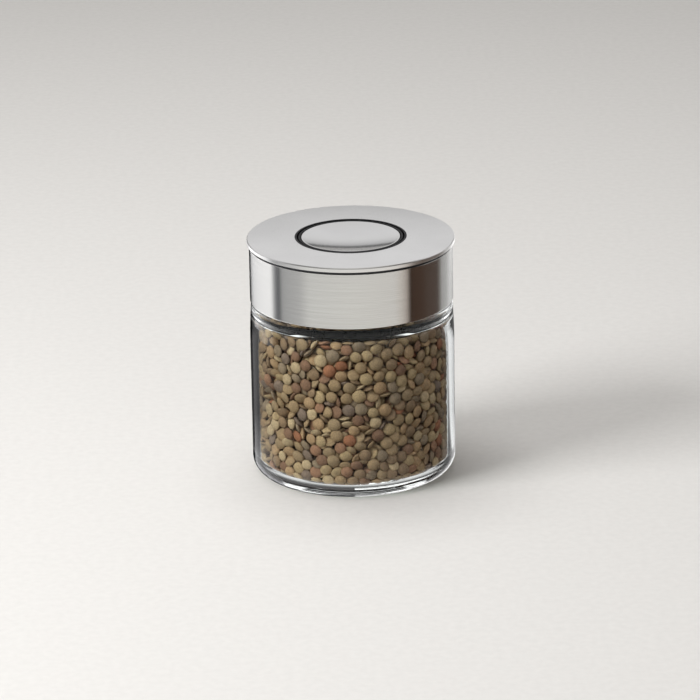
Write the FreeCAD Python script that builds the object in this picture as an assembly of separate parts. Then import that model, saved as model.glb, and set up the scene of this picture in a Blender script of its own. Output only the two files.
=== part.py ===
import FreeCAD, Part
import math
import os

# Herb keeper: a round glass jar filled with lentils, closed by a brushed steel lid.
# The dished disc in the lid's black ring is a push button. Flush, it holds a wedge between six
# pushers that spread the silicone seal inside the jar's mouth. Popped up, it lets them back.
# Millimetres, +Z up, origin at the centre of the jar's base on the surface it stands on.

# Overall sizes
TOTAL_HEIGHT = 118.8
PLATE_RADIUS = 50.45
SKIRT_RADIUS = 49.5
JAR_RADIUS = 49.85

# Jar
GLASS_WALL = 3.2
GLASS_FLOOR = 4.2
BASE_HOLLOW = 1.2
FOOT_RADIUS = 37.0
HEEL_FILLET = 7.6
TAPER_START = 73.0
SHOULDER_RADIUS = 49.15
SHOULDER_TOP = 86.4
SHOULDER_FILLET = 2.4
MOUTH_RADIUS = 43.2
NECK_RADIUS = 46.0
NECK_FILLET = 0.6
RIM_TOP = 103.7
RIM_FILLET = 1.2
THROAT_TOP = 84.5
THROAT_BOTTOM = 79.5
THROAT_FILLET = 4.0
FLOOR_FILLET = 6.0

# Lentils
FILL_GAP = 0.15
FILL_TOP = 80.5
CORE_RADIUS = 44.0
CORE_TOP = 78.5
CORE_CHAMFER = 3.0
LENTIL_RADIUS = 3.1
LENTIL_HALF = 1.3
LENTIL_RIM = 0.35
WALL_LENTILS = 300
WALL_LENTILS_FROM = 11.0
WALL_LENTILS_TO = 77.0
HEEL_LENTILS = 26
TOP_LENTILS = 80
TOP_LENTILS_RADIUS = 43.0
GOLDEN_ANGLE = 137.508

# Steel plate and skirt
BEZEL_PROUD = 0.2
PLATE_TOP = TOTAL_HEIGHT - BEZEL_PROUD
PLATE_SHEET = 1.0
PLATE_BEVEL = 0.35
PLATE_LIP = 2.4
PLATE_HOLE = 26.9
SKIRT_SHEET = 0.8
SKIRT_BOTTOM = 87.5
SKIRT_TOP = 114.9
HEM_INNER = 47.4
HEM_HEIGHT = 1.0

# Plastic frame under the plate
FRAME_RADIUS = 48.65
FRAME_WALL = 1.55
FRAME_BOTTOM = SKIRT_BOTTOM + HEM_HEIGHT + 0.1
DECK_THICKNESS = 2.4
DECK_TOP = PLATE_TOP - PLATE_SHEET
DECK_BOTTOM = DECK_TOP - DECK_THICKNESS
RIB_THICKNESS = 1.6
RIB_BOTTOM = 107.0

# Plug that hangs in the mouth
WELL_RADIUS = 27.0
WELL_WALL = 2.0
PLUG_RADIUS = 41.5
PLUG_FLOOR_BOTTOM = 96.8
PLUG_FLOOR_TOP = 98.8
PLUG_FLOOR_HOLE = 17.0
DRUM_RADIUS = 40.0
DRUM_WALL = 2.0
FLANGE_BOTTOM = 104.0
FLANGE_TOP = 106.5
FLANGE_RADIUS = 46.9
COVER_BOTTOM = 88.6
COVER_TOP = 91.0
GUARD_RADIUS = 42.2
GUARD_INNER = 41.0
GUARD_BOTTOM = 81.6
SEAL_RADIUS = 42.95
SEAL_INNER = 40.6

# Button
BUTTON_TRAVEL = 8.0
BEZEL_RADIUS = 27.2
BEZEL_BORE = 26.1
BEZEL_SLEEVE = 26.8
BEZEL_SLEEVE_BOTTOM = 112.6
DISH_RADIUS = 24.0
DISH_RIM_TOP = 118.5
DISH_DEPTH = 2.0
DISH_SHEET = 0.8
DISH_RIM = 0.6
DISH_EDGE_BOTTOM = 114.6
CARRIER_RADIUS = 25.5
CARRIER_WALL = 1.2
CARRIER_RIM_TOP = 118.6
CARRIER_BOTTOM = 103.0
CARRIER_DECK_BOTTOM = 113.2
CARRIER_FLANGE_RADIUS = 26.7
CARRIER_FLANGE_HEIGHT = 1.4
STEM_RADIUS = 4.5
STEM_BOTTOM = 96.0

# Wedge and pushers: the pushers move in by this share of the button's rise
WEDGE_SLOPE = 0.15
PUSHER_COUNT = 6
WEDGE_BOTTOM = 91.5
WEDGE_TOP = 97.5
WEDGE_APOTHEM = 12.0
WEDGE_CLEARANCE = 0.1
PUSHER_WIDTH = 8.0
PUSHER_BOTTOM = 91.3
PUSHER_TOP = 96.5
FIN_TOP = 104.5
FIN_OUTER = 16.0
SHOE_INNER = 38.0
SHOE_OUTER = 40.35
SHOE_HALF_ANGLE = 26.0
CHANNEL_CLEARANCE = 0.3
CHANNEL_WALL = 1.4
CHANNEL_INNER = 18.5
CHANNEL_OUTER = 34.0

# Spring
SPRING_RADIUS = 17.9
SPRING_WIRE = 1.2
SPRING_TURNS = 5

# Push-push latch: a wire follower whose tip runs in a looped track
LATCH_SWING = 0.16
FOLLOWER_WIRE = 0.9
FOLLOWER_RADIUS = 19.8
FOLLOWER_PIVOT_Z = 100.2
FOLLOWER_TIP_Z = 111.3
FOLLOWER_TIP_REACH = 21.45
FOLLOWER_PIVOT_REACH = 23.2
TRACK_FACE = 20.6
TRACK_FLOOR = 21.75
TRACK_BACK = 24.25
TRACK_HALF_WIDTH = 4.8
TRACK_BOTTOM = 102.2
TRACK_RADIUS = 0.8

# Screws
SCREW_HEAD_RADIUS = 2.8
SCREW_HEAD_HEIGHT = 1.2
SCREW_SHANK_RADIUS = 1.3
PILOT_RADIUS = 1.35
BOSS_RADIUS = 3.2
COVER_SCREW_CIRCLE = 31.0
FRAME_SCREW_CIRCLE = 33.0
SCREW_COUNT = 3

AXIS = FreeCAD.Vector(0, 0, 1)
ORIGIN = FreeCAD.Vector(0, 0, 0)


def vector(x, y, z):
    return FreeCAD.Vector(x, y, z)


def corner_arc(before, corner, after, radius):
    """Arc of the given radius that rounds the corner between two straight runs."""
    to_before = (before - corner).normalize()
    to_after = (after - corner).normalize()
    half = to_before.getAngle(to_after) / 2
    setback = radius / math.tan(half)
    start = corner + to_before * setback
    end = corner + to_after * setback
    middle_way = (to_before + to_after).normalize()
    centre = corner + middle_way * (radius / math.sin(half))
    middle = centre - middle_way * radius
    return Part.Arc(start, middle, end), start, end


def outline(corners):
    """Closed outline in the XZ plane from (r, z) corners, or (r, z, fillet) for a rounded one."""
    points = [vector(corner[0], 0, corner[1]) for corner in corners]
    edges = []
    starts = []
    ends = []
    arcs = []
    for i, corner in enumerate(corners):
        if len(corner) == 3:
            after = points[(i + 1) % len(points)]
            arc, start, end = corner_arc(points[i - 1], points[i], after, corner[2])
        else:
            arc, start, end = None, points[i], points[i]
        arcs.append(arc)
        starts.append(start)
        ends.append(end)
    for i, arc in enumerate(arcs):
        if arc is not None:
            edges.append(arc.toShape())
        following = starts[(i + 1) % len(starts)]
        if ends[i].distanceToPoint(following) > 1e-6:
            edges.append(Part.LineSegment(ends[i], following).toShape())
    return Part.Face(Part.Wire(edges))


def turned(corners):
    """Solid of revolution about the jar's axis."""
    return outline(corners).revolve(ORIGIN, AXIS, 360)


def disc(radius, bottom, top, x=0, y=0):
    return Part.makeCylinder(radius, top - bottom, vector(x, y, bottom))


def ring(inner, outer, bottom, top):
    return disc(outer, bottom, top).cut(disc(inner, bottom, top))


def block(x_range, y_range, z_range):
    size = [high - low for low, high in (x_range, y_range, z_range)]
    return Part.makeBox(*size, vector(x_range[0], y_range[0], z_range[0]))


def spun(shape, angle):
    """The shape turned by an angle in degrees about the jar's axis."""
    copy = shape.copy()
    copy.rotate(ORIGIN, AXIS, angle)
    return copy


def around(shape, count, first=0):
    """Equally spaced copies of the shape about the jar's axis."""
    return [spun(shape, first + 360 * i / count) for i in range(count)]


def joined(shapes):
    return shapes[0].fuse(shapes[1:]).removeSplitter()


def drilled(shape, holes):
    return shape.cut(Part.makeCompound(holes))


def screw(x, head_bottom, head_height, tip):
    """Pan head screw that points up, at the distance x from the jar's axis."""
    shank = disc(SCREW_SHANK_RADIUS, head_bottom + head_height, tip, x)
    tip_cone = Part.makeCone(SCREW_SHANK_RADIUS, 0.3, 1.0, vector(x, 0, tip))
    recess = disc(0.9, head_bottom, head_bottom + head_height / 2, x)
    head = disc(SCREW_HEAD_RADIUS, head_bottom, head_bottom + head_height, x)
    return joined([head, shank, tip_cone]).cut(recess)


def glass_jar():
    inner_radius = JAR_RADIUS - GLASS_WALL
    return turned([
        (0, BASE_HOLLOW),
        (FOOT_RADIUS - 4.0, BASE_HOLLOW, 3.0),
        (FOOT_RADIUS, 0, 1.0),
        (JAR_RADIUS, 0, HEEL_FILLET),
        (JAR_RADIUS, TAPER_START, 200.0),
        (SHOULDER_RADIUS, SHOULDER_TOP, SHOULDER_FILLET),
        (NECK_RADIUS, SHOULDER_TOP, NECK_FILLET),
        (NECK_RADIUS, RIM_TOP, RIM_FILLET),
        (MOUTH_RADIUS, RIM_TOP, RIM_FILLET),
        (MOUTH_RADIUS, THROAT_TOP, THROAT_FILLET),
        (inner_radius, THROAT_BOTTOM, THROAT_FILLET),
        (inner_radius, GLASS_FLOOR, FLOOR_FILLET),
        (0, GLASS_FLOOR),
    ])


def lentil():
    """One lens about its own Z axis: two caps of a ball on a blunt rim."""
    cap = LENTIL_HALF - LENTIL_RIM
    ball = (LENTIL_RADIUS ** 2 + cap ** 2) / (2 * cap)
    half_way = math.asin(LENTIL_RADIUS / ball) / 2
    reach = ball * math.sin(half_way)
    rise = LENTIL_HALF - ball * (1 - math.cos(half_way))
    poles = vector(0, 0, LENTIL_HALF), vector(0, 0, -LENTIL_HALF)
    rims = vector(LENTIL_RADIUS, 0, LENTIL_RIM), vector(LENTIL_RADIUS, 0, -LENTIL_RIM)
    edges = [
        Part.Arc(poles[0], vector(reach, 0, rise), rims[0]).toShape(),
        Part.makeLine(rims[0], rims[1]),
        Part.Arc(rims[1], vector(reach, 0, -rise), poles[1]).toShape(),
        Part.makeLine(poles[1], poles[0]),
    ]
    return Part.Face(Part.Wire(edges)).revolve(ORIGIN, AXIS, 360)


def lentil_under(seed, number, surface, outward, across):
    """The seed leaning its own way, moved in until it just touches a wall at the surface point."""
    along = outward.cross(across)
    lean = across * (0.6 * math.sin(2.3 * number)) + along * (0.5 * math.sin(3.7 * number + 1))
    axis = (outward + lean).normalize()
    share = axis.dot(outward)
    reach = LENTIL_RADIUS * math.sqrt(1 - share * share) + LENTIL_HALF * share
    placed = seed.copy()
    placed.Placement = FreeCAD.Placement(surface - outward * reach, FreeCAD.Rotation(AXIS, axis))
    return placed


def lentils():
    """Plain core with single lentils on it, spread by the golden angle over wall, heel and top."""
    wall = JAR_RADIUS - GLASS_WALL - FILL_GAP
    heel = FLOOR_FILLET - FILL_GAP
    core = turned([
        (0, GLASS_FLOOR),
        (CORE_RADIUS - CORE_CHAMFER, GLASS_FLOOR),
        (CORE_RADIUS, GLASS_FLOOR + CORE_CHAMFER),
        (CORE_RADIUS, CORE_TOP, 1.5),
        (0, CORE_TOP),
    ])
    seed = lentil()
    placed = []
    for i in range(WALL_LENTILS):
        angle = math.radians(i * GOLDEN_ANGLE)
        outward = vector(math.cos(angle), math.sin(angle), 0)
        height = WALL_LENTILS_FROM + (WALL_LENTILS_TO - WALL_LENTILS_FROM) * i / WALL_LENTILS
        placed.append(lentil_under(seed, i, outward * wall + AXIS * height, outward, AXIS))
    for i in range(HEEL_LENTILS):
        angle = 2 * math.pi * (i + 0.3) / HEEL_LENTILS
        aside = vector(math.cos(angle), math.sin(angle), 0)
        outward = (aside * 1.3 - AXIS).normalize()
        centre = aside * (wall - heel) + AXIS * (GLASS_FLOOR + FLOOR_FILLET)
        across = aside.cross(AXIS)
        placed.append(lentil_under(seed, 5 * i, centre + outward * heel, outward, across))
    for i in range(TOP_LENTILS):
        angle = math.radians(i * GOLDEN_ANGLE)
        radius = (TOP_LENTILS_RADIUS - LENTIL_RADIUS) * math.sqrt((i + 0.5) / TOP_LENTILS)
        surface = vector(radius * math.cos(angle), radius * math.sin(angle), FILL_TOP)
        placed.append(lentil_under(seed, i, surface, AXIS, vector(1, 0, 0)))
    return core.multiFuse(placed).Solids[0]


def lid_plate():
    lip_inner = PLATE_RADIUS - 1.0
    lip_bottom = PLATE_TOP - PLATE_LIP
    return turned([
        (PLATE_HOLE, DECK_TOP),
        (PLATE_HOLE, PLATE_TOP),
        (PLATE_RADIUS - PLATE_BEVEL, PLATE_TOP, 0.2),
        (PLATE_RADIUS, PLATE_TOP - 0.5, 0.4),
        (PLATE_RADIUS, lip_bottom, 0.3),
        (lip_inner, lip_bottom, 0.3),
        (lip_inner, DECK_TOP),
    ])


def lid_skirt():
    inner = SKIRT_RADIUS - SKIRT_SHEET
    hem_top = SKIRT_BOTTOM + HEM_HEIGHT
    return turned([
        (HEM_INNER, SKIRT_BOTTOM, 0.3),
        (SKIRT_RADIUS, SKIRT_BOTTOM, 0.5),
        (SKIRT_RADIUS, SKIRT_TOP, 0.2),
        (inner, SKIRT_TOP),
        (inner, hem_top),
        (HEM_INNER, hem_top, 0.3),
    ])


def lid_frame():
    wall_inner = FRAME_RADIUS - FRAME_WALL
    wall = ring(wall_inner, FRAME_RADIUS, FRAME_BOTTOM, DECK_TOP)
    deck = ring(PLATE_HOLE, FRAME_RADIUS, DECK_BOTTOM, DECK_TOP)
    half = RIB_THICKNESS / 2
    rib = block((WELL_RADIUS + WELL_WALL + 0.3, wall_inner + 0.5), (-half, half), (RIB_BOTTOM, DECK_BOTTOM))
    boss = disc(BOSS_RADIUS, PLUG_FLOOR_TOP, DECK_BOTTOM, FRAME_SCREW_CIRCLE)
    pilot = disc(PILOT_RADIUS, PLUG_FLOOR_TOP, DECK_BOTTOM - 3.0, FRAME_SCREW_CIRCLE)
    ribs = around(rib, PUSHER_COUNT)
    bosses = around(boss, SCREW_COUNT, 90)
    return drilled(joined([wall, deck] + ribs + bosses), around(pilot, SCREW_COUNT, 90))


def bezel_ring():
    return turned([
        (BEZEL_BORE, BEZEL_SLEEVE_BOTTOM, 0.2),
        (BEZEL_SLEEVE, BEZEL_SLEEVE_BOTTOM, 0.2),
        (BEZEL_SLEEVE, PLATE_TOP),
        (BEZEL_RADIUS, PLATE_TOP),
        (BEZEL_RADIUS, TOTAL_HEIGHT, 0.2),
        (BEZEL_BORE, TOTAL_HEIGHT, 0.3),
    ])


def dish_ball(offset):
    """Ball whose underside is the dish's hollow, grown downwards by an offset."""
    hollow_radius = DISH_RADIUS - DISH_RIM
    ball_radius = (hollow_radius ** 2 + DISH_DEPTH ** 2) / (2 * DISH_DEPTH)
    centre_z = DISH_RIM_TOP - DISH_DEPTH + ball_radius
    return Part.makeSphere(ball_radius + offset, vector(0, 0, centre_z))


def button_dish():
    """Pressed sheet: hollow above, with a rounded rim and an edge that is turned down."""
    pressed = turned([
        (0, DISH_EDGE_BOTTOM),
        (DISH_RADIUS, DISH_EDGE_BOTTOM),
        (DISH_RADIUS, DISH_RIM_TOP, 0.4),
        (0, DISH_RIM_TOP),
    ])
    under = disc(DISH_RADIUS - DISH_SHEET, DISH_EDGE_BOTTOM, DISH_RIM_TOP)
    return pressed.cut(dish_ball(0)).cut(under.cut(dish_ball(DISH_SHEET)))


def button_carrier():
    """Cup that shows as a black rim round the dish, with a stop flange, a stem and a spring seat."""
    inner = CARRIER_RADIUS - CARRIER_WALL
    deck = disc(DISH_RADIUS - DISH_SHEET - 0.1, CARRIER_DECK_BOTTOM, DISH_RIM_TOP - 0.8)
    deck = deck.cut(dish_ball(DISH_SHEET + 0.05))
    shelf = disc(CARRIER_RADIUS, CARRIER_DECK_BOTTOM, DISH_EDGE_BOTTOM - 0.1)
    skirt = turned([
        (inner, CARRIER_BOTTOM, 0.3),
        (CARRIER_FLANGE_RADIUS, CARRIER_BOTTOM, 0.3),
        (CARRIER_FLANGE_RADIUS, CARRIER_BOTTOM + CARRIER_FLANGE_HEIGHT, 0.3),
        (CARRIER_RADIUS, CARRIER_BOTTOM + CARRIER_FLANGE_HEIGHT),
        (CARRIER_RADIUS, CARRIER_RIM_TOP, 0.4),
        (inner, CARRIER_RIM_TOP, 0.3),
    ])
    stem = disc(STEM_RADIUS, STEM_BOTTOM, CARRIER_DECK_BOTTOM)
    spring_inner = SPRING_RADIUS - SPRING_WIRE / 2
    spring_seat = ring(spring_inner - 1.0, spring_inner - 0.2, CARRIER_DECK_BOTTOM - 1.5, CARRIER_DECK_BOTTOM)
    pilot = disc(PILOT_RADIUS, STEM_BOTTOM, STEM_BOTTOM + 8.0)
    return drilled(joined([deck, shelf, skirt, stem, spring_seat]), [pilot])


def hexagon(apothem, z):
    """Hexagon wire whose flats face the pushers."""
    corner_radius = apothem / math.cos(math.pi / PUSHER_COUNT)
    corners = []
    for i in range(PUSHER_COUNT + 1):
        angle = 2 * math.pi * (i + 0.5) / PUSHER_COUNT
        corners.append(vector(corner_radius * math.cos(angle), corner_radius * math.sin(angle), z))
    return Part.makePolygon(corners)


def expander_wedge():
    top_apothem = WEDGE_APOTHEM + WEDGE_SLOPE * (WEDGE_TOP - WEDGE_BOTTOM)
    body = Part.makeLoft([hexagon(WEDGE_APOTHEM, WEDGE_BOTTOM), hexagon(top_apothem, WEDGE_TOP)], True, True)
    head_pocket = disc(SCREW_HEAD_RADIUS + 0.3, WEDGE_BOTTOM, WEDGE_BOTTOM + 2.0)
    shank_hole = disc(SCREW_SHANK_RADIUS + 0.2, WEDGE_BOTTOM, WEDGE_TOP)
    stem_socket = disc(STEM_RADIUS + 0.05, STEM_BOTTOM, WEDGE_TOP)
    return drilled(body, [head_pocket, shank_hole, stem_socket])


def seal_pusher():
    """Pusher on the +X side: a bar, a tall fin that the wedge leans on and a curved shoe."""
    half = PUSHER_WIDTH / 2
    face = WEDGE_APOTHEM + WEDGE_CLEARANCE
    face_bottom = face + WEDGE_SLOPE * (PUSHER_BOTTOM - WEDGE_BOTTOM)
    face_top = face + WEDGE_SLOPE * (FIN_TOP - WEDGE_BOTTOM)
    side = Part.makePolygon([
        vector(face_bottom, -half, PUSHER_BOTTOM),
        vector(face_top, -half, FIN_TOP),
        vector(FIN_OUTER, -half, FIN_TOP),
        vector(FIN_OUTER, -half, PUSHER_TOP),
        vector(SHOE_INNER + 1.0, -half, PUSHER_TOP),
        vector(SHOE_INNER + 1.0, -half, PUSHER_BOTTOM),
        vector(face_bottom, -half, PUSHER_BOTTOM),
    ])
    bar = Part.Face(side).extrude(vector(0, PUSHER_WIDTH, 0))
    sweep = 2 * SHOE_HALF_ANGLE
    height = PUSHER_TOP - PUSHER_BOTTOM
    base = vector(0, 0, PUSHER_BOTTOM)
    outer = Part.makeCylinder(SHOE_OUTER, height, base, AXIS, sweep)
    inner = Part.makeCylinder(SHOE_INNER, height, base, AXIS, 360)
    return joined([bar, spun(outer.cut(inner), -SHOE_HALF_ANGLE)])


def plug_body():
    floor = ring(PLUG_FLOOR_HOLE, PLUG_RADIUS, PLUG_FLOOR_BOTTOM, PLUG_FLOOR_TOP)
    drum = ring(DRUM_RADIUS - DRUM_WALL, DRUM_RADIUS, PLUG_FLOOR_TOP, FLANGE_TOP)
    flange = ring(DRUM_RADIUS - DRUM_WALL, FLANGE_RADIUS, FLANGE_BOTTOM, FLANGE_TOP)
    well = ring(WELL_RADIUS, WELL_RADIUS + WELL_WALL, PLUG_FLOOR_TOP, DECK_BOTTOM)
    near = PUSHER_WIDTH / 2 + CHANNEL_CLEARANCE
    far = near + CHANNEL_WALL
    z_range = (COVER_TOP, PLUG_FLOOR_BOTTOM)
    channel = [
        block((CHANNEL_INNER, CHANNEL_OUTER), (near, far), z_range),
        block((CHANNEL_INNER, CHANNEL_OUTER), (-far, -near), z_range),
    ]
    channels = []
    for wall in channel:
        channels += around(wall, PUSHER_COUNT)
    boss = disc(BOSS_RADIUS, COVER_TOP, PLUG_FLOOR_BOTTOM, COVER_SCREW_CIRCLE)
    bosses = around(boss, SCREW_COUNT, 30)
    pivot_depth = (TRACK_FACE, FOLLOWER_PIVOT_REACH + 0.8)
    pivot_boss = block((-1.6, 1.6), pivot_depth, (PLUG_FLOOR_TOP, FOLLOWER_PIVOT_Z + 1.4))
    pivot_start = vector(0, TRACK_FACE - 1, FOLLOWER_PIVOT_Z)
    pivot_hole = Part.makeCylinder(FOLLOWER_WIRE / 2 + 0.08, 6, pivot_start, vector(0, 1, 0))
    pilot = disc(PILOT_RADIUS, COVER_TOP, PLUG_FLOOR_TOP - 0.6, COVER_SCREW_CIRCLE)
    through = disc(SCREW_SHANK_RADIUS + 0.2, PLUG_FLOOR_BOTTOM, PLUG_FLOOR_TOP, FRAME_SCREW_CIRCLE)
    holes = around(pilot, SCREW_COUNT, 30) + around(through, SCREW_COUNT, 90) + [pivot_hole]
    return drilled(joined([floor, drum, flange, well, pivot_boss] + channels + bosses), holes)


def bottom_cover():
    """Plate that closes the plug under the pushers and holds the seal's lower end."""
    pocket = disc(SCREW_HEAD_RADIUS + 0.3, COVER_BOTTOM, COVER_BOTTOM + SCREW_HEAD_HEIGHT, COVER_SCREW_CIRCLE)
    through = disc(SCREW_SHANK_RADIUS + 0.2, COVER_BOTTOM, COVER_TOP, COVER_SCREW_CIRCLE)
    plate = disc(PLUG_RADIUS, COVER_BOTTOM, COVER_TOP)
    return drilled(plate, around(pocket, SCREW_COUNT, 30) + around(through, SCREW_COUNT, 30))


def guard_ring():
    """Ring under the cover's edge that hangs down inside the jar's shoulder."""
    return turned([
        (GUARD_INNER, GUARD_BOTTOM, 0.4),
        (GUARD_RADIUS, GUARD_BOTTOM, 0.6),
        (GUARD_RADIUS, COVER_BOTTOM, 0.3),
        (GUARD_INNER, COVER_BOTTOM),
    ])


def seal_ring():
    """Silicone ring with two beads, held between the plug's floor and the bottom cover."""
    height = PLUG_FLOOR_BOTTOM - COVER_TOP
    valley = SEAL_RADIUS - 0.9
    return turned([
        (SEAL_INNER, COVER_TOP),
        (valley, COVER_TOP, 0.3),
        (SEAL_RADIUS, COVER_TOP + 0.25 * height, 0.5),
        (valley, COVER_TOP + 0.5 * height, 0.5),
        (SEAL_RADIUS, COVER_TOP + 0.75 * height, 0.5),
        (valley, PLUG_FLOOR_BOTTOM, 0.3),
        (SEAL_INNER, PLUG_FLOOR_BOTTOM),
    ])


def tangent_arc(start, control, end):
    """Arc from start to end that is tangent to the lines from both to the control point."""
    middle = (start + end) * 0.5
    half = (end - start).Length / 2
    height = (control - middle).Length
    sagitta = half * math.tan(math.atan(height / half) / 2)
    return Part.Arc(start, middle + (control - middle) * (sagitta / height), end)


def button_spring():
    """Coil from the plug's floor up to the carrier: half turns, each of two arcs that meet smoothly."""
    bottom = PLUG_FLOOR_TOP + SPRING_WIRE / 2
    top = CARRIER_DECK_BOTTOM - SPRING_WIRE / 2
    rise = (top - bottom) / (2 * math.pi * SPRING_TURNS)

    def coil_point(angle):
        return vector(SPRING_RADIUS * math.cos(angle), SPRING_RADIUS * math.sin(angle), bottom + rise * angle)

    def coil_direction(angle):
        return vector(-SPRING_RADIUS * math.sin(angle), SPRING_RADIUS * math.cos(angle), rise).normalize()

    arcs = []
    for i in range(2 * SPRING_TURNS):
        first, last = i * math.pi, (i + 1) * math.pi
        start, end = coil_point(first), coil_point(last)
        leave, arrive = coil_direction(first), coil_direction(last)
        # The two control points stand one reach from the ends and two from each other.
        chord, both = end - start, leave + arrive
        square = both.Length ** 2 - 4
        slope = -2 * chord.dot(both)
        reach = (-slope - math.sqrt(slope ** 2 - 4 * square * chord.Length ** 2)) / (2 * square)
        near, far = start + leave * reach, end - arrive * reach
        joint = (near + far) * 0.5
        arcs += [tangent_arc(start, near, joint), tangent_arc(joint, far, end)]
    path = Part.Wire([arc.toShape() for arc in arcs])
    section = Part.Wire(Part.makeCircle(SPRING_WIRE / 2, coil_point(0), coil_direction(0)))
    return path.makePipeShell([section], True)


def track_leg(start, end):
    """Groove between two (x, z) points of the latch track, rounded at both ends."""
    depth = TRACK_FLOOR - TRACK_FACE + 1
    front = TRACK_FACE - 1
    outward = vector(0, 1, 0)
    ends = [Part.makeCylinder(TRACK_RADIUS, depth, vector(x, front, z), outward) for x, z in (start, end)]
    along = vector(end[0] - start[0], 0, end[1] - start[1])
    side = vector(along.z, 0, -along.x).normalize() * TRACK_RADIUS
    first = vector(start[0], front, start[1])
    corners = [first + side, first + along + side, first + along - side, first - side, first + side]
    middle = Part.Face(Part.makePolygon(corners)).extrude(outward * depth)
    return joined([middle] + ends)


def latch_cam():
    """Block on the carrier's inside with the looped track: down the right leg, up the left one."""
    width = (-TRACK_HALF_WIDTH, TRACK_HALF_WIDTH)
    body = block(width, (TRACK_FACE, TRACK_BACK + 1), (TRACK_BOTTOM, CARRIER_DECK_BOTTOM))
    body = body.common(disc(TRACK_BACK, TRACK_BOTTOM, CARRIER_DECK_BOTTOM))
    arm = FOLLOWER_TIP_Z - FOLLOWER_PIVOT_Z
    notch = (0, FOLLOWER_TIP_Z)
    low_x = arm * math.sin(LATCH_SWING)
    low_z = FOLLOWER_TIP_Z - BUTTON_TRAVEL - arm * (1 - math.cos(LATCH_SWING))
    lowest = (low_x, low_z)
    turn_left = (-2.6, FOLLOWER_TIP_Z - 2.8)
    over_top = (-1.5, FOLLOWER_TIP_Z + 0.6)
    legs = [track_leg(notch, lowest), track_leg(lowest, turn_left)]
    legs += [track_leg(turn_left, over_top), track_leg(over_top, notch)]
    return drilled(body, legs)


def latch_follower():
    radius = FOLLOWER_WIRE / 2
    outward = vector(0, 1, 0)
    low = vector(0, FOLLOWER_RADIUS, FOLLOWER_PIVOT_Z)
    high = vector(0, FOLLOWER_RADIUS, FOLLOWER_TIP_Z)
    pivot = Part.makeCylinder(radius, FOLLOWER_PIVOT_REACH - FOLLOWER_RADIUS, low, outward)
    upright = Part.makeCylinder(radius, FOLLOWER_TIP_Z - FOLLOWER_PIVOT_Z, low, AXIS)
    tip = Part.makeCylinder(radius, FOLLOWER_TIP_REACH - FOLLOWER_RADIUS, high, outward)
    bends = [Part.makeSphere(radius, low), Part.makeSphere(radius, high)]
    return joined([pivot, upright, tip] + bends)


def cover_screws():
    cover_screw = screw(COVER_SCREW_CIRCLE, COVER_BOTTOM, SCREW_HEAD_HEIGHT, PLUG_FLOOR_BOTTOM)
    return Part.makeCompound(around(cover_screw, SCREW_COUNT, 30))


def frame_screws():
    head_height = 2.0
    frame_screw = screw(FRAME_SCREW_CIRCLE, PLUG_FLOOR_BOTTOM - head_height, head_height, 108.0)
    return Part.makeCompound(around(frame_screw, SCREW_COUNT, 90))


def wedge_screw():
    return screw(0, WEDGE_BOTTOM + 0.4, 1.6, STEM_BOTTOM + 6.0)


def save(node, shape):
    shape.exportStep("parts/" + node + ".step")
    print(node, "volume", round(shape.Volume / 1000, 3), "cm3", "valid", shape.isValid())


os.makedirs("parts", exist_ok=True)
SINGLE_PIECES = [
    glass_jar, lentils, lid_plate, lid_skirt, lid_frame, bezel_ring, plug_body, bottom_cover, guard_ring,
    seal_ring, cover_screws, frame_screws, button_dish, button_carrier, expander_wedge, wedge_screw,
    button_spring, latch_cam, latch_follower,
]
for piece in SINGLE_PIECES:
    save(piece.__name__, piece())
for number, pusher in enumerate(around(seal_pusher(), PUSHER_COUNT), start=1):
    save("seal_pusher_" + str(number), pusher)
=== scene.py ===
# %% [markdown]
# # Herb keeper
# A glass jar of dried lentils under a tall steel lid with a push button in its middle.
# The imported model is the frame: every new surface stands in its place, with its outer sizes.
# Lengths are in metres here, so sizes are written as so many times mm.

# %% Load the frame
import math

import bpy
import numpy as np
from mathutils import Matrix, Vector


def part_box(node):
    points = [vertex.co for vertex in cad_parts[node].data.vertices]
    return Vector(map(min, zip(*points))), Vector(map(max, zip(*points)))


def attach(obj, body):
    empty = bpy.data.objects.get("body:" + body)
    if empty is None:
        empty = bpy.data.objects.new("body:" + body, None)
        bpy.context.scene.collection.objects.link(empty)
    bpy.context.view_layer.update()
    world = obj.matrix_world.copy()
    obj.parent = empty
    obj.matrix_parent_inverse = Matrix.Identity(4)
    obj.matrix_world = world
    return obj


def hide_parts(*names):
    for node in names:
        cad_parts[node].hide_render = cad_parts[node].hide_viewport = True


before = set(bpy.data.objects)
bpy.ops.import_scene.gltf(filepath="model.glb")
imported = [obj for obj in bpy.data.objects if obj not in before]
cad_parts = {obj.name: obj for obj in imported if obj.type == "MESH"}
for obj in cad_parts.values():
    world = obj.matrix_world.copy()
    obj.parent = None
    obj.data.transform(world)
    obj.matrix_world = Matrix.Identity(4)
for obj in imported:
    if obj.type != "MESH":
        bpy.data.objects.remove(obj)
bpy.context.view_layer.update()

mm = 0.001
print("nodes in the frame:", len(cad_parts))

# %% [markdown]
# ## Measure the frame
# A box gives a node's lowest and highest corner. For round pieces the corner's x is the radius.

# %% Read sizes off the frame


def round_size(node):
    """Radius, lowest z and highest z of a round node, from its box."""
    low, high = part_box(node)
    return high[0], low[2], high[2]


jar_radius, jar_bottom, rim_top = round_size("glass_jar")
plate_radius, plate_lip, plate_top = round_size("lid_plate")
skirt_radius, skirt_bottom, skirt_top = round_size("lid_skirt")
bezel_radius, bezel_bottom, bezel_top = round_size("bezel_ring")
dish_radius, dish_edge, dish_top = round_size("button_dish")
flange_radius, stem_bottom, cup_top = round_size("button_carrier")
fill_radius, fill_bottom, fill_top = round_size("lentils")
print("jar radius", jar_radius, "lid radius", plate_radius, "total height", bezel_top)

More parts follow.
